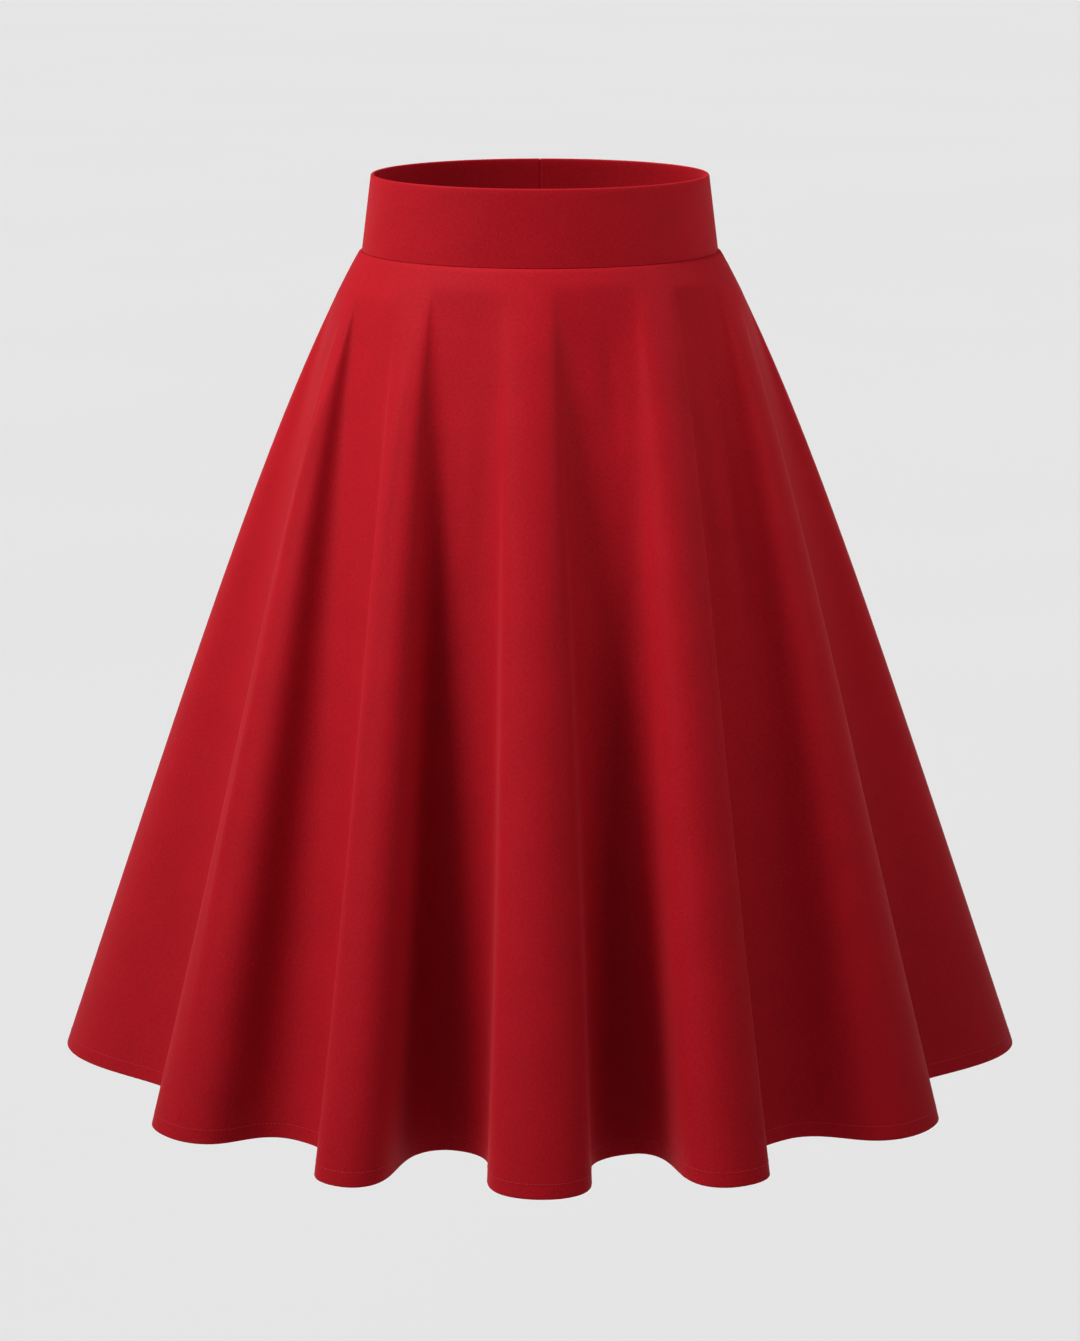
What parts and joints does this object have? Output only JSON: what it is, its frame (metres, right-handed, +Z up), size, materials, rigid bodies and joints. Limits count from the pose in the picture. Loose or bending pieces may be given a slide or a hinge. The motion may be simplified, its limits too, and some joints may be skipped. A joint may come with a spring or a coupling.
{
  "type": "flared a-line skirt",
  "caption": "Flared knee-length skirt with a wide high waistband, in the open hollow form it has when worn, with deep soft folds and a level turned-up hem.",
  "frame": {"origin": "middle of the waistband's top edge, where the wearer's waist holds the skirt up", "axes": "+Z up out of the waist, -Y towards the front, +X towards the wearer's left side"},
  "size_m": [0.7292, 0.6698, 0.6701],
  "materials": {
    "red_crepe": "matt stretch crepe with a fine close grain and a faint sheen at grazing angles"
  },
  "bodies": {
    "root": {"waistband": "red_crepe", "skirt_front": "red_crepe", "skirt_back": "red_crepe"}
  },
  "joints": []
}
